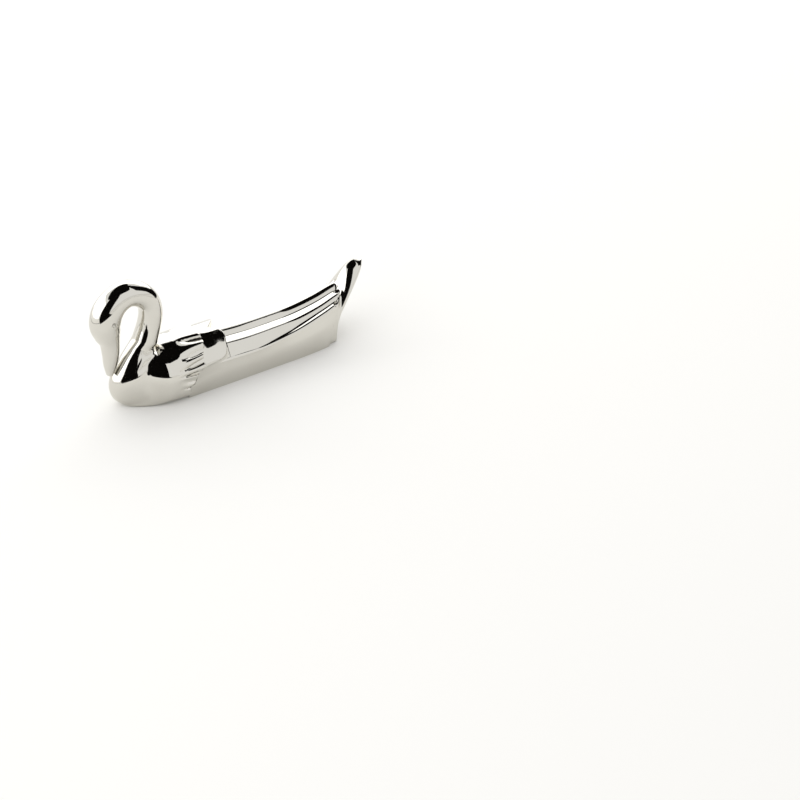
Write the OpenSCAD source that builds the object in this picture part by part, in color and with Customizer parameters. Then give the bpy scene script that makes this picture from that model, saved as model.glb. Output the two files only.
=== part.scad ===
// A cast table knife rest in the form of a swimming swan. The neck bends into a closed loop with the
// bill on the breast, and the folded plumage runs back in steps to a straight fluted bar for the blade.
// +Z is up, the head looks towards -X, the swan's left side is at -Y, and the flat sole lies on Z = 0.

/* [Breast and shoulders] */
// Breast front to the crease behind the neck
breast_l = 14; // [12:0.5:16]
// Crease behind the neck to the rear edge of the first plumage tier
shoulder_l = 13.4; // [11:0.2:16]
// Greatest width, across the shoulders
breast_w = 19.2; // [18:0.2:22]
// Height of the back behind the neck
back_h = 16; // [15:0.2:18]

/* [Saddle] */
// Rear edge of the first tier to the rear edge of the saddle
saddle_l = 6.6; // [5:0.2:9]
// How far each tier stands proud of the next one
tier_step = 0.6; // [0.4:0.05:0.8]
// Depth of the groove along the ridge of the saddle at its rear
ridge_groove = 0.8; // [0.4:0.1:1.2]
// Rise of the saddle's top from the first tier to its rear edge
saddle_rise = 1.2; // [0:0.1:1.6]

/* [Rest bar] */
// Rear edge of the saddle to the ends of the long feathers
bar_l = 38; // [32:0.2:50]
// How far the shoulders stand out past the bar on each side
bar_inset = 1.35; // [0.8:0.05:2]
// Height of the bar where the blade lies
bar_h = 12.4; // [11:0.2:13]

/* [Tail] */
// Ends of the long feathers to the tail's tip
tail_l = 9; // [7:0.2:14]
// Height of the tail
tail_h = 21; // [19:0.2:26]

/* [Neck and head] */
// Height of the neck's loop
neck_h = 37.6; // [34:0.2:44]
// Reach of the neck and head, from the crease behind the neck to the forehead
neck_reach = 17.3; // [16:0.1:20]
// Thickness of the neck at its slimmest
neck_d = 6.8; // [6:0.1:8]
// Diameter of an eye bead
eye_d = 1.5; // [1:0.1:2]

/* [Hidden] */

silver = "#c9c6c0";
// Gap that the brazing metal fills between a seat and what sits in it
braze_gap = 0.05;
// Wall between the sole and the sockets above it
sole_wall = 1.2;
// Depth of metal below the sole that is ground off flat
grind = 0.4;
// Length over which a section steps down to the sole, or up to its full outline
land = 0.3;
// Locating pegs in the neck's two joints, and the shank that holds an eye in the head
peg_d = 2.6;
peg_l = 2.4;
eye_shank_l = 1.2;
// How far the eye's dome stands out of the head
eye_dome_h = 0.45;

bar_w = breast_w - 2 * bar_inset;
overall_l = neck_reach + shoulder_l + saddle_l + bar_l + tail_l;
crease_x = neck_reach - overall_l / 2;
tier_x = crease_x + shoulder_l;
saddle_x = tier_x + saddle_l;
feather_x = saddle_x + bar_l;
root_x = feather_x - tail_l;
socket_x = tier_x - 0.716 * shoulder_l;
plate_x = tier_x - 0.639 * shoulder_l;
recess_x = tier_x - 0.663 * shoulder_l;

// Points along one feather of a section, points round the neck, and sections between two rows of a table
flute_n = 4;
neck_n = 32;
steps_n = 3;

// The smooth curve through a table's rows, with t counted in rows.
function row_at(rows, t) =
    let (n = len(rows), i = min(max(floor(t), 0), n - 2), f = t - i)
    let (a = rows[max(i - 1, 0)], b = rows[i], c = rows[i + 1], d = rows[min(i + 2, n - 1)])
    b + f / 2 * (c - a + f * (2 * a - 5 * b + 4 * c - d + f * (3 * b - a - 3 * c + d)));

function mix(a, b, f) = a + (b - a) * f;
function bent(v, power) = sign(v) * pow(abs(v), power);

// The half outline of the bar's sections runs over long feathers and is grooved where two meet. Each
// corner is a share of the half width and of the height, with the swell of the line that leads to it
// as a share of that line's length, and the angle at which the smooth sections have that corner.
corner_shares = [[0, -0.05, 0, 0], [0.975, -0.05, 0, 46], [1, 0.2, 0, 74], [0.985, 0.7, 0.03, 106],
    [0.72, 0.88, 0.1, 138], [0.3, 0.985, 0.1, 163], [-0.3, 0.985, 0.08, 197]];
// Every section has the same points: a side, a corner, a share of the way to the next corner, an angle.
half_marks = [for (k = [0:len(corner_shares) - 2], i = [0:flute_n - 1])
    if (k < len(corner_shares) - 2 || 2 * i <= flute_n)
    [1, k, i / flute_n, mix(corner_shares[k][3], corner_shares[k + 1][3], i / flute_n)]];
marks = [each half_marks, for (i = [len(half_marks) - 2:-1:1]) let (m = half_marks[i]) [-1, m[1], m[2], m[3]]];

// A rounded section between an upper and a lower point of the middle plane, cut off flat at floor_z.
// A row holds the upper point's x and z, the lower point's x and z, half the width, the roundness of
// the upper and of the lower half, and how far the width leans to the lower point.
function section_point(row, side, a, floor_z) =
    let (e = cos(a) < 0 ? row[5] : row[6], c = bent(cos(a), 2 / e), s = bent(sin(a), 2 / e))
    [(row[0] + row[2] + (row[2] - row[0]) * c) / 2, side * row[4] * s * (1 + row[7] * c),
     max((row[1] + row[3] + (row[3] - row[1]) * c) / 2, floor_z)];

function centre(ring) = [for (k = [0:2]) (min([for (p = ring) p[k]]) + max([for (p = ring) p[k]])) / 2];

// A closed solid through rings of equally many points.
module skin(rings) {
    n = len(rings[0]);
    m = len(rings);
    sides = [for (i = [0:m - 2], k = [0:n - 1]) let (a = i * n + k, b = i * n + (k + 1) % n)
        each [[a, b + n, b], [a, a + n, b + n]]];
    caps = [for (k = [0:n - 1]) each [[m * n, k, (k + 1) % n],
        [m * n + 1, (m - 1) * n + (k + 1) % n, (m - 1) * n + k]]];
    polyhedron([for (r = rings) each r, centre(rings[0]), centre(rings[m - 1])], [each sides, each caps]);
}

// Grinds the underside of its children flat at Z = 0.
module ground_flat() difference() {
    children();
    translate([-overall_l, -overall_l, -overall_l]) cube([2 * overall_l, 2 * overall_l, overall_l]);
}

// Breast and shoulders: sections that fan out from the crease behind the neck, then run straight back.
// Places are shares of breast_l from the crease, heights of back_h, and widths of half of breast_w.
breast_shares = [
    [0.007, 0.975, -0.53, 1.0875, 0.39, 2, 2, 0],
    [0, 0.947, -0.66, 0.906, 0.485, 2, 2, -0.1],
    [0, 0.937, -0.814, 0.7125, 0.66, 2, 2, -0.15],
    [0.004, 0.937, -0.943, 0.513, 0.79, 2, 2, -0.15],
    [0.014, 0.94, -0.98, 0.312, 0.87, 2, 2, -0.1],
    [0.036, 0.95, -0.9, 0.1125, 0.93, 2, 2, -0.05],
    [0.071, 0.97, -0.68, -0.03, 0.975, 2, 2.15, 0],
    [0.136, 0.985, -0.357, -0.08, 0.99, 1.98, 2.4, 0],
    [0.229, 0.995, 0.036, -0.08, 1, 1.95, 2.8, 0],
    [0.357, 1, 0.357, -0.08, 1, 1.95, 3.2, 0]];
breast_rows = [for (r = breast_shares) [crease_x + r[0] * breast_l, r[1] * back_h, crease_x + r[2] * breast_l,
    r[3] * back_h, r[4] * breast_w / 2, r[5], r[6], r[7]]];
straight_x = breast_rows[len(breast_rows) - 1][0];

// Smooth upright section of the plumage at x, drawn in by inset. Height, width and roundness are
// given at equal steps from where the breast runs straight to the rear edge of the saddle.
plumage_shares = [[1, 1, 1.95], [1, 0.99, 1.95], [0.99, 0.98, 1.95], [0.96, 0.965, 1.95]];
plumage_low_share = 0.08;
plumage_boxiness = 3.2;
function plumage_point(x, m, inset, floor_z) =
    let (r = row_at(plumage_shares, (x - straight_x) / (saddle_x - straight_x) * (len(plumage_shares) - 1)))
    section_point([x, r[0] * back_h - inset, x, -plumage_low_share * back_h, r[1] * breast_w / 2 - inset, r[2],
        plumage_boxiness, 0], m[0], m[3], floor_z);

// The bar's outline at x. Half width and height are given at equal steps along the bar.
bar_shares = [[0.98, 1.08], [0.99, 1.07], [1, 1.05], [1, 1.01], [1, 1], [1, 1.01], [0.94, 1.1], [0.8, 1.25]];
function bar_point(x, m, inset, floor_z) =
    let (s = row_at(bar_shares, (x - plate_x) / (feather_x - plate_x) * (len(bar_shares) - 1)))
    let (w = s[0] * bar_w / 2 - inset, h = s[1] * bar_h - inset, f = m[2])
    let (a = corner_shares[m[1]], b = corner_shares[m[1] + 1], swell = 4 * b[2] * f * (1 - f))
    let (dy = (b[0] - a[0]) * w, dz = (b[1] - a[1]) * h)
    [x, m[0] * (a[0] * w + dy * f + dz * swell), max(a[1] * h + dz * f - dy * swell, floor_z)];

// Rear edge of the first tier, as shares of shoulder_l before its rearmost point, by angle from the sole.
tier_edge_shares = [[0, 0.55], [62, 0.54], [82, 0.53], [85, 0.42], [90, 0.366], [99, 0.246], [106, 0.164],
    [115, 0.15], [123, 0.164], [129, 0.12], [134, 0.075], [140, 0.052], [150, 0.018], [158, 0], [165, 0.015],
    [180, 0.1]];
function tier_edge(m) = tier_x - shoulder_l * lookup(m[3], tier_edge_shares);
// The socket fits the saddle above this angle, and the bar below it.
hood_angle = 88;

// Puts its children on the plane where the neck stands on the breast, with +Z along the neck.
module at_neck_seat() {
    r = breast_rows[0];
    translate([(r[0] + r[2]) / 2, 0, (r[1] + r[3]) / 2]) rotate([0, atan2(r[3] - r[1], r[0] - r[2]), 0]) children();
}

module breast() color(silver) difference() {
    ground_flat() skin([
        for (i = [0:steps_n * (len(breast_rows) - 1)]) let (r = row_at(breast_rows, i / steps_n))
            [for (m = marks) section_point(r, m[0], m[3], -grind)],
        for (j = [1:6]) [for (m = marks) plumage_point(mix(straight_x, tier_edge(m), j / 6), m, 0, -grind)],
        for (j = [0:4]) [for (m = marks) let (x = mix(tier_edge(m), socket_x, j / 4))
            m[3] > hood_angle ? plumage_point(x, m, tier_step, sole_wall) : bar_point(x, m, -braze_gap, sole_wall)]]);
    at_neck_seat() translate([0, 0, -peg_l - braze_gap]) cylinder(h = 2 * peg_l, d = peg_d + 2 * braze_gap, $fn = 32);
}

// Saddle: a hood over the front of the bar, on a plate that fills the breast's socket.
// Its rear edge goes forwards down the sides, as shares of its length, by angle from the sole.
saddle_edge_shares = [[0, 1], [90, 1], [95, 0.8], [100, 0.62], [103, 0.47], [105, 0.29], [108, 0.19],
    [113, 0.11], [123, 0.066], [134, 0.036], [145, 0.012], [152, 0], [158, 0.015], [163, 0.05], [171, 0.12], [180, 0.2]];
function saddle_edge(m) = mix(saddle_x, plate_x, lookup(m[3], saddle_edge_shares));

// A point of the saddle's top. It rises to the rear, but less on the ridge, where a groove runs back.
groove_angle = corner_shares[5][3];
function topped(p, m) =
    let (f = min(max((p[0] - tier_x) / (saddle_edge(m) - tier_x), 0), 1), rise = saddle_rise * pow(max(-cos(m[3]), 0), 3))
    p + [0, 0, rise * sqrt(f) - ridge_groove * f * max(m[3] - groove_angle, 0) / (180 - groove_angle)];

module saddle() color(silver) skin([
    for (j = [0:8]) [for (m = marks) let (x = mix(socket_x + braze_gap, saddle_edge(m), j / 8))
        m[3] > hood_angle ? topped(plumage_point(x, m, tier_step + braze_gap, sole_wall + braze_gap), m)
        : bar_point(x, m, 0, sole_wall + braze_gap)],
    for (j = [0:6]) [for (m = marks) let (x = mix(saddle_edge(m), recess_x, j / 6))
        bar_point(x, m, m[3] > hood_angle ? -braze_gap : sole_wall, 2 * sole_wall)]]);

// Ends of the feathers, as shares of tail_l before the rearmost end, by angle from the sole.
feather_edge_shares = [[0, 0.72], [60, 0.72], [73, 0.66], [75, 0.6], [90, 0.5], [105, 0.58], [107, 0.44], [122, 0.33],
    [137, 0.42], [139, 0.2], [150, 0.08], [162, 0.18], [164, 0.08], [180, 0]];
function feather_edge(m) = feather_x - tail_l * lookup(m[3], feather_edge_shares);

// The place x, moved on by a land for the points above an angle.
step_angle = 58;
function landed(x, m, angle) = x + (m[3] > angle ? land : 0);

// Rest bar: long feathers side by side, with a notched front end under the saddle and a socket for the tail.
module rest_bar() color(silver) ground_flat() skin([
    for (x = [recess_x, plate_x]) [for (m = marks)
        bar_point(x + braze_gap, m, m[3] > hood_angle ? 0 : sole_wall + braze_gap, 2 * sole_wall + braze_gap)],
    [for (m = marks) bar_point(landed(plate_x + braze_gap, m, hood_angle), m, 0, sole_wall + braze_gap)],
    [for (m = marks) bar_point(tier_edge(marks[0]) + braze_gap, m, 0, sole_wall + braze_gap)],
    for (j = [0:16]) [for (m = marks) let (x = landed(tier_edge(marks[0]) + braze_gap, m, step_angle))
        bar_point(mix(x, feather_edge(m), j / 16), m, 0, -grind)],
    for (j = [0:4]) [for (m = marks) bar_point(mix(feather_edge(m), root_x, j / 4), m, tier_step, sole_wall)]]);

// Tail: a root in the bar's socket, then sections that lean back and rise to the tip. Places are shares
// of tail_l from the feather ends, heights of tail_h and widths of half of bar_w. The last value says
// how far the section has changed from the bar's outline to the smooth one.
tail_shares = [
    [-1, 0.66, -1, -0.02, 0.79, 2, 3, 0],
    [-0.72, 0.665, -0.72, -0.02, 0.79, 2, 3, 0],
    [-0.36, 0.67, -0.4, -0.02, 0.785, 2, 3, 0],
    [-0.03, 0.71, -0.52, -0.015, 0.73, 2, 2.6, 0.1],
    [0.144, 0.805, -0.3, 0.14, 0.697, 1.9, 2.3, 0.6],
    [0.333, 0.905, 0.01, 0.324, 0.618, 1.8, 2, 1],
    [0.522, 0.971, 0.335, 0.5, 0.497, 1.8, 2, 1],
    [0.7, 0.998, 0.66, 0.667, 0.352, 1.8, 2, 1],
    [0.878, 0.986, 0.88, 0.81, 0.194, 1.8, 2, 1],
    [1, 0.957, 0.985, 0.9, 0.05, 2, 2, 1]];
tail_rows = [for (r = tail_shares) [feather_x + r[0] * tail_l, r[1] * tail_h, feather_x + r[2] * tail_l,
    r[3] * tail_h, r[4] * bar_w / 2, r[5], r[6], 0, r[7]]];
function tail_point(t, m, floor_z) =
    let (r = row_at(tail_rows, t), p = section_point(r, m[0], m[3], floor_z))
    mix(bar_point(p[0], m, tier_step + braze_gap, floor_z), p, r[8]);

module tail() color(silver) ground_flat() skin([
    for (x = [root_x + braze_gap, feather_edge(marks[0]) + braze_gap])
        [for (m = marks) bar_point(x, m, tier_step + braze_gap, sole_wall + braze_gap)],
    [for (m = marks) let (x = landed(feather_edge(marks[0]) + braze_gap, m, step_angle))
        bar_point(x, m, tier_step + braze_gap, -grind)],
    for (t = [2:1 / steps_n:len(tail_rows) - 1]) [for (m = marks) tail_point(t, m, -grind)]]);

// Neck and head: a tube along a path in the middle plane. Places are shares of neck_reach from the
// crease, heights of neck_h, and half the thickness and half the width are shares of half of neck_d.
neck_shares = [
    [-0.113, 0.482, 1.023, 1.038],
    [-0.024, 0.591, 0.978, 0.978],
    [0.023, 0.696, 0.963, 0.963],
    [-0.013, 0.792, 0.958, 0.953],
    [-0.161, 0.871, 1.03, 1.015],
    [-0.359, 0.901, 1.098, 1.083],
    [-0.546, 0.869, 1.17, 1.1],
    [-0.692, 0.798, 1.281, 1.121],
    [-0.748, 0.714, 1.287, 1.057],
    [-0.733, 0.632, 1.102, 0.93],
    [-0.706, 0.55, 0.829, 0.783],
    [-0.712, 0.452, 0.696, 0.696],
    [-0.739, 0.358, 0.537, 0.568],
    [-0.764, 0.284, 0.285, 0.377]];
neck_rows = [for (r = neck_shares) [crease_x + r[0] * neck_reach, r[1] * neck_h, r[2] * neck_d / 2, r[3] * neck_d / 2]];
nape = 6;
function neck_way(t) = let (d = row_at(neck_rows, t + 0.05) - row_at(neck_rows, t - 0.05)) [d[0], d[1]] / norm([d[0], d[1]]);
function neck_row(t) = let (r = row_at(neck_rows, t), d = neck_way(t) * r[2])
    [r[0] + d[1], r[1] - d[0], r[0] - d[1], r[1] + d[0], r[3], 2, 2, 0];
function neck_ring(row) = [for (k = [0:neck_n - 1]) let (a = 360 * k / neck_n)
    section_point(row, a > 180 ? 1 : -1, a > 180 ? 360 - a : a, 0)];

// Puts its children on the nape, with +Z along the neck towards the head.
module at_nape() {
    r = row_at(neck_rows, nape);
    d = neck_way(nape);
    translate([r[0], 0, r[1]]) rotate([0, atan2(d[0], d[1]), 0]) children();
}

module neck() color(silver) union() {
    skin([neck_ring(breast_rows[0]), for (i = [0:steps_n * nape]) neck_ring(neck_row(i / steps_n))]);
    at_neck_seat() translate([0, 0, -peg_l]) cylinder(h = 2 * peg_l, d = peg_d, $fn = 32);
    at_nape() translate([0, 0, -peg_l]) cylinder(h = 2 * peg_l, d = peg_d, $fn = 32);
}

// Puts its children where an eye sits on the head, with +Z straight out of the head.
eye_place = 7.6;
eye_angle = 80;
module at_eye(side) translate(section_point(neck_row(eye_place), side, eye_angle, 0)) rotate([-90 * side, 0, 0]) children();

module head() color(silver) difference() {
    skin([for (i = [0:steps_n * (len(neck_rows) - 1 - nape)]) neck_ring(neck_row(nape + i / steps_n))]);
    at_nape() translate([0, 0, -peg_l]) cylinder(h = 2 * peg_l + braze_gap, d = peg_d + 2 * braze_gap, $fn = 32);
    for (side = [-1, 1]) at_eye(side) translate([0, 0, -eye_shank_l - braze_gap])
        cylinder(h = 2 * eye_shank_l, d = eye_d + 2 * braze_gap, $fn = 32);
}

// An eye: a low dome on a round shank.
module eye(side) color(silver) at_eye(side) {
    dome_r = (eye_d * eye_d / 4 + eye_dome_h * eye_dome_h) / (2 * eye_dome_h);
    translate([0, 0, -eye_shank_l]) cylinder(h = eye_shank_l, d = eye_d, $fn = 32);
    intersection() {
        cylinder(h = eye_dome_h, d = eye_d, $fn = 32);
        translate([0, 0, eye_dome_h - dome_r]) sphere(r = dome_r, $fn = 48);
    }
}

breast();
saddle();
rest_bar();
tail();
neck();
head();
eye(-1);  // left_eye
eye(1);  // right_eye
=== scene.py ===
"""Table knife rest in the form of a swimming swan, cast and silver plated.

The head looks along -X, the tail points along +X, and the sole lies on the ground. Lengths of the shape are
in millimetres, and turned into metres where a mesh is made. A section is drawn by angles in degrees, from 0
at the middle of the sole to 180 at the ridge of the back, on either side.
"""

import math

import bpy
import numpy as np
from mathutils import Matrix, Vector


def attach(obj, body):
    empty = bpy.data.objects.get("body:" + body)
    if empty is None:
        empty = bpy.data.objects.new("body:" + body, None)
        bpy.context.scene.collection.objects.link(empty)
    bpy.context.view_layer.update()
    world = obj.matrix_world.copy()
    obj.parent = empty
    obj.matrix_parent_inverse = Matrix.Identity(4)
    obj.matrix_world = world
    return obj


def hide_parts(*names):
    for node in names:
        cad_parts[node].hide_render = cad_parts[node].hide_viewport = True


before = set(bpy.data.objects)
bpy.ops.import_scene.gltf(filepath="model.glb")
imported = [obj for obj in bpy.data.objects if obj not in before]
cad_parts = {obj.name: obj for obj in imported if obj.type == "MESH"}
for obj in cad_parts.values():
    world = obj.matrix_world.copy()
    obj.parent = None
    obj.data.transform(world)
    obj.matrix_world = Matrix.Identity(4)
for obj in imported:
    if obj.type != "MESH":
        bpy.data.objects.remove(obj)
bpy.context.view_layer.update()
scene = bpy.context.scene
MM = 0.001

# Camera, with a long lens, from the left, the front and above

camera_data = bpy.data.cameras.new("camera")
camera = bpy.data.objects.new("camera", camera_data)
scene.collection.objects.link(camera)
scene.camera = camera
camera_data.sensor_width = 36
camera_data.lens = 84.15
camera_data.clip_start = 0.01
camera.rotation_euler = (math.radians(54), 0, math.radians(-33))
camera.location = Vector((-197.0, -388.64, 301.73)) * MM

# Measures in millimetres, the same as in the solid model

BREAST_L, SHOULDER_L, BREAST_W, BACK_H = 14, 13.4, 19.2, 16
SADDLE_L, TIER_STEP, RIDGE_GROOVE, SADDLE_RISE = 6.6, 0.6, 0.8, 1.2
BAR_L, BAR_W, BAR_H, TAIL_L, TAIL_H = 38, 16.5, 12.4, 9, 21
NECK_H, NECK_REACH, NECK_D, EYE_D = 37.6, 17.3, 6.8, 1.5
GAP, SOLE_WALL = 0.05, 1.2

# Places along the length: where each tier of plumage ends, and how far forward its plug and socket reach
OVERALL_L = NECK_REACH + SHOULDER_L + SADDLE_L + BAR_L + TAIL_L
CREASE_X = NECK_REACH - OVERALL_L / 2
TIER_X = CREASE_X + SHOULDER_L
SADDLE_X = TIER_X + SADDLE_L
FEATHER_X = SADDLE_X + BAR_L
ROOT_X = FEATHER_X - TAIL_L
SOCKET_X = TIER_X - 0.716 * SHOULDER_L
PLATE_X = TIER_X - 0.639 * SHOULDER_L
RECESS_X = TIER_X - 0.663 * SHOULDER_L
# Above this angle the saddle shows as a hood, and below it follows the bar's outline inside the breast
HOOD_ANGLE = 88
# Where a plug widens into its casting, the next ring lies this much further back, apart from the sole, which
# widens at once up to this angle
SET_BACK, SOLE_ANGLE = 0.3, 58

# Shape functions


def row_at(rows, t):
    """The smooth curve through a table's rows, with t counted in rows."""
    rows, t = np.asarray(rows, float), np.asarray(t, float)
    i = np.clip(np.floor(t).astype(int), 0, len(rows) - 2)
    f = (t - i)[..., None]
    a, b = rows[np.maximum(i - 1, 0)], rows[i]
    c, d = rows[i + 1], rows[np.minimum(i + 2, len(rows) - 1)]
    return b + f / 2 * (c - a + f * (2 * a - 5 * b + 4 * c - d + f * (3 * b - a - 3 * c + d)))


def bent(v, power):
    """A power that keeps the sign."""
    return np.sign(v) * np.abs(v) ** power


def smooth(v):
    """A soft step from 0 to 1."""
    v = np.clip(v, 0, 1)
    return v * v * (3 - 2 * v)


# Corners of the bar's section at its front and at its rear: shares of its half width and of its height, and
# how far the span before the corner swells. Each feather has a flat upper face, a rounded crown and a steep
# lower face.
CORNER_ANGLES = np.array([0, 46, 74, 106, 124, 135, 138, 145, 156, 163, 170, 190])
FRONT = np.array([
    [0, -0.05, 0], [0.975, -0.05, 0], [1, 0.2, 0], [1, 0.45, 0.02], [0.99, 0.575, 0], [0.955, 0.65, 0.16],
    [0.935, 0.655, 0], [0.65, 0.85, 0], [0.51, 0.882, 0.12], [0.25, 0.885, 0], [0.17, 0.945, 0],
    [-0.17, 0.945, 0.278]])
REAR = np.array([
    [0, -0.05, 0], [0.975, -0.05, 0], [1, 0.2, 0], [0.985, 0.52, 0.02], [0.893, 0.765, 0],
    [0.815, 0.828, 0.15], [0.68, 0.825, 0], [0.585, 0.885, 0], [0.47, 0.905, 0.14], [0.24, 0.902, 0],
    [0.17, 0.947, 0], [-0.17, 0.947, 0.3]])
# The section goes over from the front one to the rear one from this place on, within this length
FLUTES_X, FLUTES_L = 2, 26


def spread(pairs):
    """Angles between the given ones, as many in each span as the pair says."""
    spans = zip(pairs, pairs[1:])
    return np.concatenate([np.linspace(a, b, count, endpoint=False) for (a, count), (b, _) in spans])


# Angles round one side of a section, closer where it curves, and then back down the other side
UPWARD = spread([(0, 6), (40, 4), (46, 16), (74, 34), (106, 28), (138, 26), (163, 18), (180, 0)])
UPWARD = np.append(UPWARD, 180)
ANGLE = np.concatenate([UPWARD, UPWARD[-2:0:-1]])
SIDE = np.concatenate([np.ones(len(UPWARD)), -np.ones(len(UPWARD) - 2)])
COVERED = ANGLE > HOOD_ANGLE
ABOVE_SOLE = ANGLE > SOLE_ANGLE


def section(row, floor, side=SIDE, angle=ANGLE):
    """A rounded section between an upper and a lower point of the middle plane, cut off flat at floor.

    A row holds x and z of the upper point, x and z of the lower one, half the width, how square the upper
    and the lower part are, and how much wider it is below the middle than above.
    """
    ux, uz, lx, lz, width, upper, lower, lean = np.broadcast_arrays(*row)
    turn = np.radians(angle)
    e = np.where(np.cos(turn) < 0, upper, lower)
    c, s = bent(np.cos(turn), 2 / e), bent(np.sin(turn), 2 / e)
    return np.stack(np.broadcast_arrays((ux + lx + (lx - ux) * c) / 2, side * width * s * (1 + lean * c),
                                        np.maximum((uz + lz + (lz - uz) * c) / 2, floor)), -1)


# Sections of the breast as rows for section(), in shares, from the neck's seat back to the straight part
BREAST_SHARES = np.array([
    [0.007, 0.975, -0.49, 1.08, 0.39, 2, 2, 0],
    [0, 0.947, -0.66, 0.906, 0.485, 2, 2, -0.1],
    [0, 0.937, -0.814, 0.7125, 0.66, 2, 2, -0.15],
    [0.004, 0.937, -0.943, 0.513, 0.79, 2, 2, -0.15],
    [0.014, 0.94, -0.98, 0.312, 0.87, 2, 2, -0.1],
    [0.036, 0.95, -0.9, 0.1125, 0.93, 2, 2, -0.05],
    [0.071, 0.97, -0.68, -0.03, 0.975, 2, 2.15, 0],
    [0.136, 0.985, -0.357, -0.08, 0.99, 1.98, 2.4, 0],
    [0.229, 0.995, 0.036, -0.08, 1, 1.95, 2.8, 0],
    [0.357, 1, 0.357, -0.08, 1, 1.95, 3.2, 0]])
BREAST_ROWS = BREAST_SHARES * [BREAST_L, BACK_H, BREAST_L, BACK_H, BREAST_W / 2, 1, 1, 1]
BREAST_ROWS = BREAST_ROWS + [CREASE_X, 0, CREASE_X, 0, 0, 0, 0, 0]
STRAIGHT_X = BREAST_ROWS[-1][0]
# Half length and half width of the chest's column for each of these rows, in shares of the neck's thickness
CHEST_SHARES = [
    [0.54, 0.55], [0.82, 0.58], [1.08, 0.62], [1.3, 0.66], [1.45, 0.73], [1.5, 0.79], [1.3, 0.86], [0.9, 1],
    [0.7, 1.1], [0.7, 1.2]]
# How square the straight plumage is above and below its widest place, how far it would reach below the
# ground if it weren't cut flat, and where it is widest, both in shares of its height
SQUARE_ABOVE, SQUARE_BELOW = 1.95, 3.2
BELOW_GROUND, WIDEST_AT = -0.08, 0.46
# Height and width of the plumage, in shares, from the shoulders to the end of the saddle
PLUMAGE = [[1, 1], [1, 0.99], [0.99, 0.98], [0.96, 0.965]]
# The shoulders draw in towards the chest: how much, and how far before the straight part, in shares
DRAW_IN, DRAW_START = 0.7, 0.15
# Low on the breast they draw in less: by what share at the ground, up to what height, and how it fades
LOW_EASE, LOW_EASE_H, LOW_EASE_POWER = 0.65, 0.594, 2.5
# How much longer the chest's column is behind than in front, and how round the crease beside it is
BEHIND, CREASE_ROUND = 0.3, 0.3


def width_at(z):
    """Half the width of the plumage at a height."""
    up = (z / BACK_H - WIDEST_AT) / (1 - WIDEST_AT)
    e = np.where(up > 0, SQUARE_ABOVE, SQUARE_BELOW)
    return BREAST_W / 2 * np.maximum(1 - np.minimum(np.abs(up), 1) ** e, 0) ** (1 / e)


def softened(step, size):
    """What a rounded corner takes off where two surfaces are a step apart."""
    return size / 4 * (np.maximum(size - np.abs(step), 0) / np.maximum(size, 0.01)) ** 2


def breast(t, side=SIDE, angle=ANGLE):
    """Rings of the breast: a narrow column for the chest, and shoulders that spread behind it."""
    r = row_at(BREAST_ROWS, t)[:, :, None]
    rings = section(np.moveaxis(r, 1, 0), 0, side, angle)
    x, y, z = np.moveaxis(rings, -1, 0)
    y = np.abs(y)
    half_l, half_w = np.moveaxis(row_at(CHEST_SHARES, t) * NECK_D, -1, 0)[..., None]
    height = np.hypot(r[:, 0] - r[:, 2], r[:, 1] - r[:, 3])
    way = (1 - np.cos(np.radians(angle))) / 2 * height - half_l
    behind = half_l * (1 + BEHIND * smooth(t[:, None]))
    chest = half_w * np.sqrt(np.maximum(1 - (way / np.where(way < 0, half_l, behind)) ** 2, 0))
    drawn_in = DRAW_IN * BREAST_W * (np.maximum(STRAIGHT_X - x, 0) / BREAST_L - DRAW_START).clip(0) ** 2
    low = np.clip(1 - z / (LOW_EASE_H * BACK_H), 0, 1)
    drawn_in = drawn_in * (1 - LOW_EASE * low ** LOW_EASE_POWER)
    wing = np.maximum(width_at(z) - drawn_in, 0)
    full = np.maximum(wing, chest) + softened(wing - chest, CREASE_ROUND)
    rings[..., 1] = side * (np.minimum(full, y) - softened(full - y, np.minimum(0.5 * drawn_in, y / 2)))
    return rings


def plumage(x, inset, floor):
    """The smooth section of the folded plumage at x, drawn in by inset."""
    r = row_at(PLUMAGE, (x - STRAIGHT_X) / (SADDLE_X - STRAIGHT_X) * (len(PLUMAGE) - 1))
    top, width = r[..., 0] * BACK_H - inset, r[..., 1] * BREAST_W / 2 - inset
    return section((x, top, x, BELOW_GROUND * BACK_H, width, SQUARE_ABOVE, SQUARE_BELOW, 0), floor)


# Width and height of the bar, in shares, from under the saddle to the ends of its feathers
BAR = [[0.98, 1.08], [0.99, 1.07], [1, 1.05], [1, 1.01], [1, 1], [1, 1.01], [0.94, 1.1], [0.8, 1.25]]
CORNER = np.clip(np.searchsorted(CORNER_ANGLES, ANGLE, "right") - 1, 0, len(REAR) - 2)


def bar(x, inset, floor):
    """The outline of the bar at x: long feathers with a groove where two meet."""
    s = row_at(BAR, (x - PLATE_X) / (FEATHER_X - PLATE_X) * (len(BAR) - 1))
    w, h = s[..., 0] * BAR_W / 2 - inset, s[..., 1] * BAR_H - inset
    way = smooth((x - FLUTES_X) / FLUTES_L)[..., None]
    a = FRONT[CORNER] + way * (REAR - FRONT)[CORNER]
    b = FRONT[CORNER + 1] + way * (REAR - FRONT)[CORNER + 1]
    first, last = CORNER_ANGLES[CORNER], CORNER_ANGLES[CORNER + 1]
    f = (ANGLE - first) / (last - first)
    swell = 4 * b[..., 2] * f * (1 - f)
    dy, dz = (b[..., 0] - a[..., 0]) * w, (b[..., 1] - a[..., 1]) * h
    return np.stack(np.broadcast_arrays(x, SIDE * (a[..., 0] * w + dy * f + dz * swell),
                                        np.maximum(a[..., 1] * h + dz * f - dy * swell, floor)), -1)


def lookup(table):
    """A share for each angle of the section, from a table of angles and shares."""
    table = np.array(table)
    return np.interp(ANGLE, table[:, 0], table[:, 1])


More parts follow.
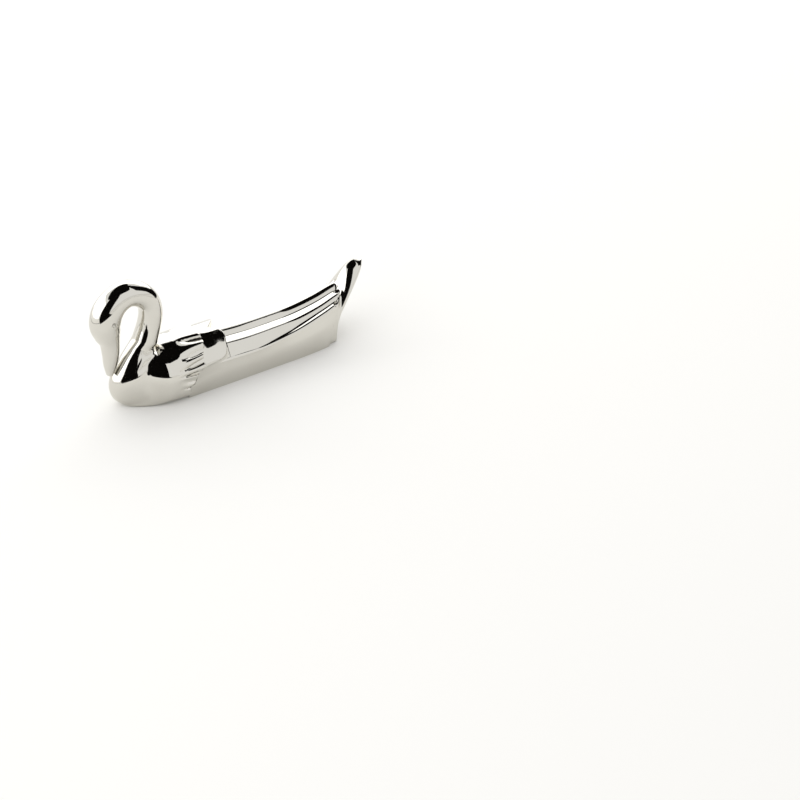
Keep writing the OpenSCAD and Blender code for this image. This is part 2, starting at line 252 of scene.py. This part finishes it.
# The scalloped rear edges of the breast, the saddle and the bar: how far a point lies before the tier's end
TIER_EDGE = TIER_X - SHOULDER_L * lookup([
    [0, 0.55], [62, 0.54], [82, 0.53], [85, 0.42], [90, 0.366], [99, 0.246], [106, 0.164], [115, 0.15],
    [123, 0.164], [129, 0.12], [134, 0.075], [140, 0.052], [150, 0.018], [158, 0], [165, 0.015],
    [180, 0.1]])
SADDLE_EDGE = SADDLE_X + (PLATE_X - SADDLE_X) * lookup([
    [0, 1], [90, 1], [95, 0.8], [100, 0.62], [103, 0.47], [105, 0.29], [108, 0.19], [113, 0.11],
    [123, 0.066], [134, 0.036], [145, 0.012], [152, 0], [158, 0.015], [163, 0.05], [171, 0.12], [180, 0.2]])
FEATHER_EDGE = FEATHER_X - TAIL_L * lookup([
    [0, 0.72], [60, 0.72], [73, 0.66], [75, 0.6], [90, 0.5], [105, 0.58], [107, 0.44], [122, 0.33],
    [137, 0.42], [139, 0.2], [150, 0.08], [162, 0.18], [164, 0.08], [180, 0]])


def between(a, b, f):
    """Rings between two places, one for each share in f."""
    return a + (b - a) * np.asarray(f, float)[:, None]


def along(steps):
    """Even shares from 0 to 1."""
    return np.linspace(0, 1, steps + 1)


# Feathers of the first tier: each groove runs from its front end to the rear edge, given as x and angle
GROOVES = [((-19.4, 164), (-13.0, 159)), ((-21.0, 127), (-14.6, 131)), ((-22.6, 107), (-15.6, 115)),
           ((-23.0, 99), (-17.2, 95)), ((-22.6, 91), (-17.6, 88)), ((-22.4, 78), (-19.2, 78))]
# How far a groove sinks for each degree to the next one, and from how many degrees on that grows no more
GROOVE_SHARE, WIDEST_FEATHER = 0.07, 20
# Sink of the outermost grooves, and within how many degrees the surface beyond them is plain again
RIDGE_SINK, RIDGE_FADE = 0.5, 7
LOW_SINK, LOW_FADE = 0.2, 8


def feather_relief(x):
    """How far the surface of the first tier sinks at x, where feathers swell out between the grooves."""
    x = np.broadcast_to(x, np.broadcast_shapes(np.shape(x), ANGLE.shape))
    lines = []
    for (x0, a0), (x1, a1) in GROOVES:
        lines.append((a0 + (a1 - a0) * (x - x0) / (x1 - x0), smooth((x - x0) / (x1 - x0))))
    sunk = np.zeros_like(x)
    for (upper, grow_u), (lower, grow_l) in zip(lines, lines[1:]):
        t = np.clip((ANGLE - lower) / np.maximum(upper - lower, 1), 0, 1)
        grow = grow_l + (grow_u - grow_l) * t
        inside = (ANGLE <= upper) & (ANGLE > lower)
        depth = GROOVE_SHARE * np.minimum(np.maximum(upper - lower, 1), WIDEST_FEATHER)
        sunk = np.where(inside, depth * grow * (1 - 4 * t * (1 - t)), sunk)
    first, grow = lines[0]
    fade = np.clip(1 - (ANGLE - first) / RIDGE_FADE, 0, 1) ** 2
    sunk = np.where(ANGLE > first, RIDGE_SINK * grow * fade, sunk)
    last, grow = lines[-1]
    fade = np.clip(1 - (last - ANGLE) / LOW_FADE, 0, 1) ** 2
    return np.where(ANGLE <= last, LOW_SINK * grow * fade, sunk)


# Radius of the rounded rim at the rear of each tier, and the rings that draw it
RIM_R, RIM_STEPS = 0.28, 6


def up_to_rim(start, edge, steps):
    """Rings from start to the rounded rim at an edge: x for each, and how far it is sunk."""
    turn = np.linspace(0, math.pi / 2, RIM_STEPS + 1)[1:, None]
    x = np.concatenate([between(start, edge - RIM_R, along(steps)), edge - RIM_R * (1 - np.sin(turn))])
    return x, np.concatenate([np.zeros((steps + 1, 1)), RIM_R * (1 - np.cos(turn))])


# The face of a step between two tiers: how deep each of its rings lies below the upper tier
STEP_DEPTHS = between(RIM_R, TIER_STEP, along(3)[1:])
POLISH_ROUNDS, POLISH_SHARE = 3, 0.5


def soften(rings, first, last):
    """Rounds the creases of rings first to last as casting and polishing do."""
    for _ in range(POLISH_ROUNDS):
        area = rings[first - 1:last + 2]
        around = (np.roll(area, 1, 1) + np.roll(area, -1, 1))[1:-1]
        mean = (around + area[:-2] + area[2:]) / 4
        rings[first:last + 1] += POLISH_SHARE * (mean - area[1:-1])
    rings[..., 2] = np.maximum(rings[..., 2], 0)
    return rings


SHARP_ANGLE = 50


def skin(name, rings):
    """A closed mesh through rings of equally many points, shaded smooth but at sharp edges."""
    count, n = rings.shape[:2]
    i, k = np.meshgrid(np.arange(count - 1), np.arange(n), indexing="ij")
    a, b = (i * n + k).ravel(), (i * n + (k + 1) % n).ravel()
    faces = np.stack([a, a + n, b + n, b], 1).tolist()
    points = np.concatenate([rings.reshape(-1, 3), rings[0].mean(0)[None], rings[-1].mean(0)[None]])
    front_pole, rear_pole = count * n, count * n + 1
    last = (count - 1) * n
    faces += [[front_pole, j, (j + 1) % n] for j in range(n)]
    faces += [[rear_pole, last + (j + 1) % n, last + j] for j in range(n)]
    mesh = bpy.data.meshes.new(name)
    mesh.from_pydata((points * MM).tolist(), [], faces)
    mesh.validate()
    mesh.polygons.foreach_set("use_smooth", [True] * len(mesh.polygons))
    mesh.set_sharp_from_angle(angle=math.radians(SHARP_ANGLE))
    thing = bpy.data.objects.new(name, mesh)
    scene.collection.objects.link(thing)
    return thing


# Castings


def hooded(over, under):
    """One shape where the hood covers the section, and another one below it."""
    return np.where(COVERED[:, None], over, under)


def build_breast():
    """The breast with its feathers, the face of its step, and the socket in it for the saddle."""
    front = breast(np.linspace(0, len(BREAST_ROWS) - 1, 180))
    x, inset = up_to_rim(STRAIGHT_X, TIER_EDGE, 44)
    x, inset = x[1:], inset[1:]
    straight = plumage(x, inset + feather_relief(x), 0)
    relief = feather_relief(front[..., 0])
    outward = front - front.mean(1, keepdims=True)
    outward /= np.maximum(np.linalg.norm(outward, axis=-1, keepdims=True), 0.1)
    front = front - outward * relief[..., None]
    x = TIER_EDGE + 0 * STEP_DEPTHS
    under_feathers = np.maximum(STEP_DEPTHS, feather_relief(TIER_EDGE) + 0.1)
    face = hooded(plumage(x, under_feathers, 0), plumage(x, STEP_DEPTHS, 0))
    x = between(TIER_EDGE, SOCKET_X, along(4))
    socket = hooded(plumage(x, TIER_STEP, SOLE_WALL), bar(x, -GAP, SOLE_WALL))
    rings = np.concatenate([front, straight, face, socket])
    return skin("breast_casting", soften(rings, 4, len(front) + len(straight) - 1))


# The saddle rises towards its rear from this angle on, in full after so many degrees, and has a groove along
# its ridge from the last of these angles up
RISE_FROM, RISE_OVER, RIDGE_FROM = 95, 40, 163


def build_saddle():
    """The saddle, from its plug in the breast to its rear edge, and the recess in it for the bar."""
    x, inset = up_to_rim(SOCKET_X + GAP, SADDLE_EDGE, 60)
    over = plumage(x, TIER_STEP + GAP + inset, SOLE_WALL + GAP)
    f = np.clip((x - TIER_X) / (SADDLE_EDGE - TIER_X), 0, 1)
    rise = SADDLE_RISE / 2 * smooth((ANGLE - RISE_FROM) / RISE_OVER)
    ridge = RIDGE_GROOVE * np.maximum(ANGLE - RIDGE_FROM, 0) / (180 - RIDGE_FROM)
    over[..., 2] += (rise - ridge) * f
    outer = hooded(over, bar(x, 0, SOLE_WALL + GAP))
    x = between(SADDLE_EDGE, RECESS_X, along(8))
    within = bar(x, np.where(COVERED, -GAP, SOLE_WALL), 2 * SOLE_WALL)
    rings = np.concatenate([outer, within])
    return skin("saddle_casting", soften(rings, 20, len(outer) - 1))


def build_bar():
    """The bar, from its plug in the saddle to its feathers' ends, and the socket in it for the tail."""
    flat = 0 * ANGLE
    plug_inset = np.where(COVERED, 0, SOLE_WALL + GAP)
    plug = [bar(RECESS_X + GAP + flat, plug_inset, 2 * SOLE_WALL + GAP),
            bar(PLATE_X + GAP + flat, plug_inset, 2 * SOLE_WALL + GAP),
            bar(PLATE_X + GAP + SET_BACK * COVERED, 0, SOLE_WALL + GAP),
            bar(TIER_EDGE[0] + GAP + flat, 0, SOLE_WALL + GAP)]
    x, inset = up_to_rim(TIER_EDGE[0] + GAP + SET_BACK * ABOVE_SOLE, FEATHER_EDGE, 150)
    feathers = bar(x, inset, 0)
    face = bar(FEATHER_EDGE + 0 * STEP_DEPTHS, STEP_DEPTHS, 0)
    socket = bar(between(FEATHER_EDGE, ROOT_X, along(6)), TIER_STEP, SOLE_WALL)
    rings = np.concatenate([plug, feathers, face, socket])
    return skin("bar_casting", soften(rings, 6, len(plug) + len(feathers)))


# Sections of the tail as rows for section(), in shares, with a last column for how far each is its own shape
# and no longer the bar's
TAIL_SHARES = np.array([
    [-1, 0.66, -1, -0.02, 0.79, 2, 3, 0, 0],
    [-0.72, 0.665, -0.72, -0.02, 0.79, 2, 3, 0, 0],
    [-0.36, 0.67, -0.4, -0.02, 0.785, 2, 3, 0, 0.1],
    [-0.03, 0.71, -0.52, -0.015, 0.7, 1.6, 2.4, 0.15, 0.6],
    [0.144, 0.805, -0.3, 0.14, 0.62, 1.4, 2, 0.22, 0.95],
    [0.333, 0.905, 0.01, 0.324, 0.56, 1.35, 2, 0.2, 1],
    [0.522, 0.971, 0.335, 0.5, 0.48, 1.35, 2, 0.08, 1],
    [0.7, 0.998, 0.66, 0.667, 0.36, 1.4, 2, -0.1, 1],
    [0.878, 0.986, 0.88, 0.81, 0.21, 1.5, 2, -0.2, 1],
    [1, 0.957, 0.985, 0.9, 0.05, 1.6, 2, 0, 1]])
TAIL_ROWS = TAIL_SHARES * [TAIL_L, TAIL_H, TAIL_L, TAIL_H, BAR_W / 2, 1, 1, 1, 1]
TAIL_ROWS = TAIL_ROWS + [FEATHER_X, 0, FEATHER_X, 0, 0, 0, 0, 0, 0]
# The row where the tail comes out of the bar
TAIL_FROM = 2


def build_tail():
    """The tail, from its plug in the bar up to its tip."""
    edge, inset = FEATHER_EDGE[0] + GAP, TIER_STEP + GAP
    plug = bar(between(ROOT_X + GAP, edge + 0 * ANGLE, along(4)), inset, SOLE_WALL + GAP)
    foot = bar(edge + SET_BACK * ABOVE_SOLE, inset, 0)
    rows = row_at(TAIL_ROWS, np.linspace(TAIL_FROM, len(TAIL_ROWS) - 1, 110))
    shape = section(np.moveaxis(rows[:, :8, None], 1, 0), 0)
    plain = bar(shape[..., 0], inset, 0)
    blade = plain + (shape - plain) * rows[:, 8, None, None]
    return skin("tail_casting", soften(np.concatenate([plug, foot[None], blade]), 8, 100))


# Neck and head

# The neck and head as one tube, from the seat on the breast to the tip of the bill: x and z of its middle
# line, its half thickness in the middle plane and its half width, in shares
NECK_SHARES = np.array([
    [-0.113, 0.482, 1.023, 1.038], [-0.024, 0.591, 0.978, 0.978], [0.023, 0.696, 0.963, 0.963],
    [-0.013, 0.792, 0.958, 0.953], [-0.161, 0.871, 1.03, 1.015], [-0.359, 0.901, 1.097, 1.083],
    [-0.546, 0.869, 1.17, 1.1], [-0.692, 0.798, 1.279, 1.121], [-0.748, 0.714, 1.283, 1.057],
    [-0.733, 0.632, 1.102, 0.93], [-0.706, 0.55, 0.829, 0.783], [-0.712, 0.452, 0.696, 0.696],
    [-0.739, 0.358, 0.537, 0.568], [-0.764, 0.284, 0.285, 0.377]])
NECK_ROWS = NECK_SHARES * [NECK_REACH, NECK_H, NECK_D / 2, NECK_D / 2] + [CREASE_X, 0, 0, 0]
# Places along the tube, counted in rows, and the eye's angle round it
NAPE, EYE_PLACE, BILL_TIP, EYE_ANGLE = 6, 7.6, 13, 80
# How strongly the foot of the neck keeps the direction of the breast, and that of the neck
KEEP_BREAST, KEEP_NECK = 6, 4.5
turns = np.linspace(0, 360, 96, endpoint=False)
TUBE_SIDE = np.where(turns > 180, 1, -1)
TUBE_ANGLE = np.where(turns > 180, 360 - turns, turns)


def neck_row(t):
    """A row for section() across the tube at t."""
    r = row_at(NECK_ROWS, t)
    way = (row_at(NECK_ROWS, t + 0.05) - row_at(NECK_ROWS, t - 0.05))[..., :2]
    way /= np.linalg.norm(way, axis=-1, keepdims=True)
    dx, dz = way[..., 0] * r[..., 2], way[..., 1] * r[..., 2]
    same = np.full_like(dx, 2)
    return [r[..., 0] + dz, r[..., 1] - dx, r[..., 0] - dz, r[..., 1] + dx, r[..., 3], same, same, 0 * dx]


def tube(t):
    """Rings of the neck and head at the places t."""
    row = [np.asarray(v)[:, None] for v in neck_row(np.asarray(t, float))]
    return section(row, 0, TUBE_SIDE, TUBE_ANGLE)


def build_neck():
    """The neck, with a foot that runs smoothly out of the breast."""
    foot, below = breast(np.array([0, 0.1]), TUBE_SIDE, TUBE_ANGLE)
    body = tube(np.linspace(0, NAPE, 140))
    above = tube([0.1])[0]
    f = along(16)[:-1, None, None]
    leave, arrive = (foot - below) * KEEP_BREAST, (above - body[0]) * KEEP_NECK
    curve = foot + f * leave + f ** 2 * (3 * (body[0] - foot) - 2 * leave - arrive)
    curve += f ** 3 * (leave + arrive - 2 * (body[0] - foot))
    return skin("neck_casting", np.concatenate([curve, body]))


def build_head():
    """The head and bill, joined to the neck at the nape."""
    return skin("head_casting", tube(np.linspace(NAPE, BILL_TIP, 150)))


def eye_frame(side):
    """Where an eye sits on the head, with the third axis straight out of the head."""
    row = [np.asarray(v) for v in neck_row(np.array(EYE_PLACE))]
    spot = section(row, 0, side, EYE_ANGLE)
    return Matrix.Translation(Vector(spot)) @ Matrix.Rotation(math.radians(-90 * side), 4, "X")


def build_eye(name, side):
    """A bead in a raised ring, turned about the eye's axis."""
    ring_r, ring_foot, ring_top, lip_r = EYE_D / 2, 0.06, 0.2, 0.13
    bead_r, bead_foot, bead_top, shank_l = 0.46, 0.02, 0.44, 1.2
    profile = [(ring_r, -shank_l), (ring_r, ring_foot)]
    for turn in np.linspace(0, math.pi, 9)[1:-1]:
        height = (ring_top - ring_foot) * math.sin(turn)
        profile.append((ring_r - lip_r + lip_r * math.cos(turn), ring_foot + height))
    profile.append((bead_r, bead_foot))
    for turn in np.linspace(0, math.pi / 2, 9)[1:-1]:
        height = (bead_top - bead_foot) * math.sin(turn)
        profile.append((bead_r * math.cos(turn), bead_foot + height))
    place = eye_frame(side)
    around = np.radians(np.linspace(0, 360, 48, endpoint=False))
    rings = []
    for r, h in profile:
        rings.append([list(place @ Vector((r * math.cos(a), r * math.sin(a), h))) for a in around])
    return skin(name, np.array(rings))


pieces = {
    "breast": build_breast(),
    "saddle": build_saddle(),
    "rest_bar": build_bar(),
    "tail": build_tail(),
    "neck": build_neck(),
    "head": build_head(),
    "left_eye": build_eye("left_eye_bead", -1),
    "right_eye": build_eye("right_eye_bead", 1),
}

# Materials


def linear(code):
    """A colour written as an sRGB hex code, as linear numbers."""
    parts = [int(code[i:i + 2], 16) / 255 for i in (1, 3, 5)]
    return [c / 12.92 if c <= 0.04045 else ((c + 0.055) / 1.055) ** 2.4 for c in parts] + [1]


def add(tree, kind, inputs=None, **settings):
    """A new node with its settings and inputs, where an input is a value or another node's output."""
    node = tree.nodes.new(kind)
    for key, value in settings.items():
        setattr(node, key, value)
    for key, value in (inputs or {}).items():
        if isinstance(value, bpy.types.NodeSocket):
            tree.links.new(value, node.inputs[key])
        else:
            node.inputs[key].default_value = value
    return node


def new_tree(name):
    """A new material and its empty node tree."""
    material = bpy.data.materials.new(name)
    material.use_nodes = True
    material.node_tree.nodes.clear()
    return material, material.node_tree


# Silver plate, buffed to a mirror after casting: a faintly warm mirror with hairline wipe marks. The buffing
# leaves clouds about 7 mm across, a little duller and warmer. A wipe mark is about 1.1 mm long and 0.2 mm
# wide, coarser than a real one so that it shows, and so weak that it hardly bends the reflections.
CLOUDS_PER_METRE, HAIRS_PER_METRE, HAIR_SLIMNESS = 140, 900, 6
silver, tree = new_tree("polished_silver_plate")
place = add(tree, "ShaderNodeTexCoord").outputs["Object"]
cloud = add(tree, "ShaderNodeTexNoise", {"Vector": place, "Scale": CLOUDS_PER_METRE, "Detail": 3}).outputs[0]
stretched = add(tree, "ShaderNodeMapping", {"Vector": place, "Scale": (1, HAIR_SLIMNESS, HAIR_SLIMNESS)})
hair = add(tree, "ShaderNodeTexNoise", {"Vector": stretched.outputs[0], "Scale": HAIRS_PER_METRE,
                                        "Detail": 4})
rough = add(tree, "ShaderNodeMapRange", {"Value": cloud, "From Min": 0.35, "From Max": 0.7, "To Min": 0.03,
                                         "To Max": 0.075})
# Inputs 6 and 7 of a Mix node are its two colours
tint = add(tree, "ShaderNodeMix", {0: cloud, 6: linear("#d7d5ce"), 7: linear("#d2cfc7")}, data_type="RGBA")
bump = add(tree, "ShaderNodeBump", {"Strength": 0.02, "Distance": 0.02 * MM, "Height": hair.outputs[0]})
shader = add(tree, "ShaderNodeBsdfPrincipled", {"Metallic": 1, "Base Color": tint.outputs[2],
                                                "Roughness": rough.outputs[0], "Normal": bump.outputs[0]})
add(tree, "ShaderNodeOutputMaterial", {0: shader.outputs[0]})

for node, piece in pieces.items():
    piece.data.materials.append(silver)
    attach(piece, "root")
    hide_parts(node)

# Studio

# Matt pale paper: an even white ground that takes a soft shadow, and runs into a white backdrop between
# these distances in metres from the object
BACKDROP_NEAR, BACKDROP_FAR = 0.4, 0.9
paper, tree = new_tree("pale_paper")
shader = add(tree, "ShaderNodeBsdfPrincipled", {"Base Color": linear("#f4f3f0"), "Roughness": 0.9,
                                                "Specular IOR Level": 0})
place = add(tree, "ShaderNodeTexCoord").outputs["Object"]
distance = add(tree, "ShaderNodeVectorMath", {0: place}, operation="LENGTH").outputs["Value"]
remote = add(tree, "ShaderNodeMapRange", {"Value": distance, "From Min": BACKDROP_NEAR,
                                          "From Max": BACKDROP_FAR})
straight = add(tree, "ShaderNodeLightPath").outputs["Is Camera Ray"]
share = add(tree, "ShaderNodeMath", {0: remote.outputs[0], 1: straight}, operation="MULTIPLY").outputs[0]
white = add(tree, "ShaderNodeEmission", {"Color": linear("#ffffff"), "Strength": 1}).outputs[0]
ground_look = add(tree, "ShaderNodeMixShader", {0: share, 1: shader.outputs[0], 2: white})
add(tree, "ShaderNodeOutputMaterial", {0: ground_look.outputs[0]})

# Black felt on the screens round the table: the dark shapes that a mirror surface shows
felt, tree = new_tree("black_felt")
shader = add(tree, "ShaderNodeBsdfPrincipled", {"Base Color": linear("#0c0b0a"), "Roughness": 1,
                                                "Specular IOR Level": 0})
add(tree, "ShaderNodeOutputMaterial", {0: shader.outputs[0]})


# Distance of the dark screens from the object and height of a dark card over the ground, in metres
SCREEN_FAR, CARD_LIFT = 0.7, 0.0004


def sheet(name, corners, material):
    """A flat or bent piece of the studio with the given corners."""
    mesh = bpy.data.meshes.new(name)
    mesh.from_pydata([tuple(c) for c in corners], [], [list(range(len(corners)))])
    mesh.materials.append(material)
    thing = bpy.data.objects.new(name, mesh)
    scene.collection.objects.link(thing)
    return thing


def toward(azimuth, elevation, far):
    """A point in a direction from the object, with azimuth from +Y towards +X, in degrees."""
    a, e = math.radians(azimuth), math.radians(elevation)
    return Vector((math.sin(a) * math.cos(e), math.cos(a) * math.cos(e), math.sin(e))) * far


def felt_sheet(name, points):
    """A sheet of black felt that shows only in reflections."""
    thing = sheet(name, points, felt)
    thing.visible_camera = thing.visible_diffuse = thing.visible_shadow = False


def screen(name, outline):
    """A dark screen that fills a patch of the surroundings, given by azimuths and elevations."""
    points = []
    for (a0, e0), (a1, e1) in zip(outline, outline[1:] + outline[:1]):
        a1 += 360 * round((a0 - a1) / 360)
        for f in np.linspace(0, 1, 8, endpoint=False):
            points.append(toward(a0 + (a1 - a0) * f, e0 + (e1 - e0) * f, SCREEN_FAR))
    felt_sheet(name, points)


def card(name, azimuths, near, far=SCREEN_FAR):
    """A dark card that lies on the ground between two azimuths, from near to far."""
    left, right = azimuths
    around = list(np.linspace(left, right, 60))
    points = [toward(a, 0, near) for a in around] + [toward(a, 0, far) for a in reversed(around)]
    felt_sheet(name, [p + Vector((0, 0, CARD_LIFT)) for p in points])


sheet("ground", [(-3, -3, 0), (3, -3, 0), (3, 3, 0), (-3, 3, 0)], paper)
# A thin dark line on the ground, which edges the pale sides of the castings
card("edge_line", (-240, 119), 0.152, 0.16)
# The dark band over the head and back, and the dark shapes on the chest, the shoulder and the tail
screen("overhead_screen", [
    (-180, 51), (-168, 49), (-150, 50), (-130, 50), (-109, 51), (-67, 59), (-35, 57), (-12, 57), (20, 57),
    (45, 57), (60, 64), (72, 66), (80, 60), (100, 60), (108, 66), (130, 60), (145, 52), (170, 50)])
screen("camera_screen", [(-163, 0), (-119, 0), (-119, 56), (-165, 54)])
screen("side_screen", [
    (66, 0), (106, 0), (114, 11), (124, 20), (132, 29), (133, 36), (128, 46), (126, 56), (110, 68), (80, 68),
    (90, 56), (94, 44), (90, 30), (84, 18), (76, 8)])
card("camera_card", (-164, -119), 0.125)
card("side_card", (60, 105), 0.12)

# White surroundings, as seen by the camera and in mirror surfaces, and a plain level of light from all round
SKY_LEVEL = 0.65
world = bpy.data.worlds.new("studio")
scene.world = world
world.use_nodes = True
tree = world.node_tree
tree.nodes.clear()
path = add(tree, "ShaderNodeLightPath").outputs
seen = path["Is Camera Ray"]
for kind in ("Is Glossy Ray", "Is Transmission Ray"):
    seen = add(tree, "ShaderNodeMath", {0: seen, 1: path[kind]}, operation="MAXIMUM").outputs[0]
strength = add(tree, "ShaderNodeMapRange", {"Value": seen, "To Min": SKY_LEVEL, "To Max": 1})
light = add(tree, "ShaderNodeBackground", {"Color": linear("#ffffff"), "Strength": strength.outputs[0]})
add(tree, "ShaderNodeOutputWorld", {0: light.outputs[0]})


def lamp(name, azimuth, elevation, far, size, power):
    """A soft box that faces the object, with its size in metres and its power in watts."""
    data = bpy.data.lights.new(name, "AREA")
    data.shape = "RECTANGLE"
    data.size, data.size_y = size
    data.energy = power
    thing = bpy.data.objects.new(name, data)
    scene.collection.objects.link(thing)
    thing.location = toward(azimuth, elevation, far)
    thing.rotation_euler = thing.location.to_track_quat("Z", "Y").to_euler()
    thing.visible_camera = False
    return thing


lamp("back_softbox", 20, 28, 0.9, (2.4, 0.9), 8)
lamp("left_softbox", -75, 25, 0.9, (1.5, 0.8), 4.4)
lamp("top_softbox", 0, 90, 1.1, (1.2, 1.2), 2.2).visible_glossy = False

scene.view_settings.view_transform = "Standard"
